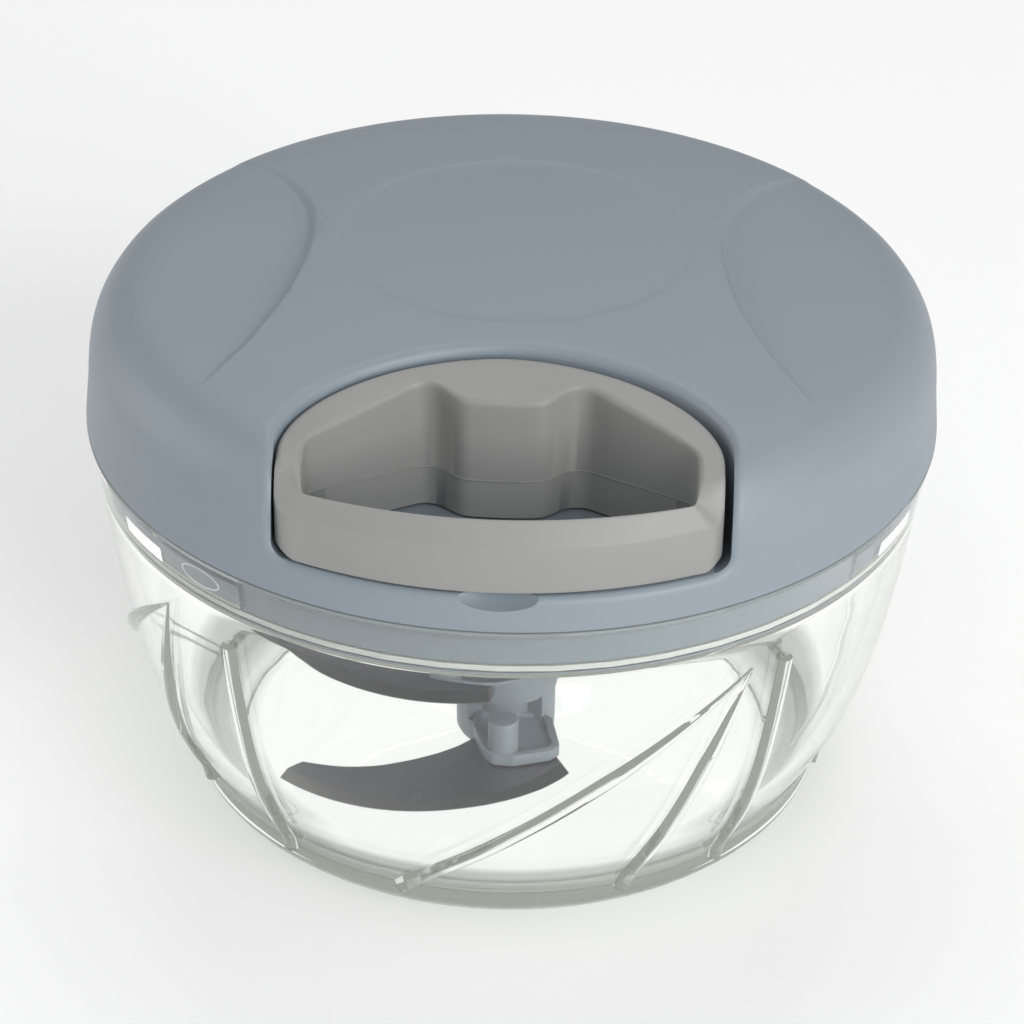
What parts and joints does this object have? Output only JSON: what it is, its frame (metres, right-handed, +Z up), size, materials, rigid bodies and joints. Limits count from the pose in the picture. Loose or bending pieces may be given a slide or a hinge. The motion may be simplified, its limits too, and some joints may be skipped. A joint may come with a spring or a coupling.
{
  "type": "manual food chopper",
  "caption": "Clear bowl with curved blades on a central hub, and a domed twist-lock lid whose pull handle spins them by a cord that winds back.",
  "frame": {"origin": "bottom centre of the bowl's foot, on the axis that the blades and the lid turn about", "axes": "+Z up along the blades' axis, -Y from the axis towards the pull handle, +X to the right seen from the handle's side"},
  "size_m": [0.125, 0.125, 0.083],
  "materials": {
    "clear_plastic": "clear and polished",
    "lid_plastic": "satin blue-grey",
    "handle_plastic": "satin warm grey",
    "blade_steel": "dark tempered steel with a ground edge",
    "bright_steel": "plain",
    "white_plastic": "satin",
    "cord": "woven",
    "silicone": "soft and translucent"
  },
  "bodies": {
    "bowl": {"bowl": "clear_plastic"},
    "blade_unit": {"blade_hub": "lid_plastic", "blade_bottom": "blade_steel", "blade_middle": "blade_steel", "blade_top": "blade_steel", "blade_rivet_bottom": "bright_steel", "blade_rivet_middle": "bright_steel", "blade_rivet_top": "bright_steel"},
    "seal_ring": {"seal_ring": "silicone"},
    "lid": {"lid_shell": "lid_plastic", "inner_cover": "lid_plastic", "cover_screw_1": "bright_steel", "cover_screw_2": "bright_steel", "cover_screw_3": "bright_steel", "cover_screw_4": "bright_steel", "cord_lead": "cord", "cord_eyelet": "bright_steel", "spring_cup": "white_plastic", "recoil_spring": "bright_steel", "axle_washer": "bright_steel", "axle_screw": "bright_steel"},
    "reel": {"cord_reel": "white_plastic", "cord_winding": "cord"},
    "handle": {"pull_handle": "handle_plastic", "cord_knot": "cord", "pull_cord": "cord"}
  },
  "joints": [
    {"name": "blade_spin", "type": "hinge", "parent": "bowl", "child": "blade_unit", "pos_m": [0, 0, 0], "axis": [0, 0, 1], "continuous": true},
    {"name": "lid_lift", "type": "slide", "parent": "bowl", "child": "seal_ring", "axis": [0, 0, 1], "range_m": [0, 0.08]},
    {"name": "lid_turn", "type": "hinge", "parent": "seal_ring", "child": "lid", "pos_m": [0, 0, 0.0565], "axis": [0, 0, 1], "range_deg": [-14, 0]},
    {"name": "handle_pull", "type": "slide", "parent": "lid", "child": "handle", "axis": [0, -0.9877, 0.1564], "range_m": [0, 0.3], "stiffness_N_per_m": 10, "springref_m": -0.5, "deforming": ["pull_cord"]},
    {"name": "reel_spin", "type": "hinge", "parent": "lid", "child": "reel", "pos_m": [0, 0, 0.07], "axis": [0, 0, 1], "range_deg": [0, 1100], "deforming": ["recoil_spring", "cord_winding"]}
  ],
  "couplings": [
    {"joint": "reel_spin", "follows": "handle_pull", "rad_per_m": 63.694},
    {"joint": "blade_spin", "follows": "handle_pull", "rad_per_m": 63.694}
  ]
}
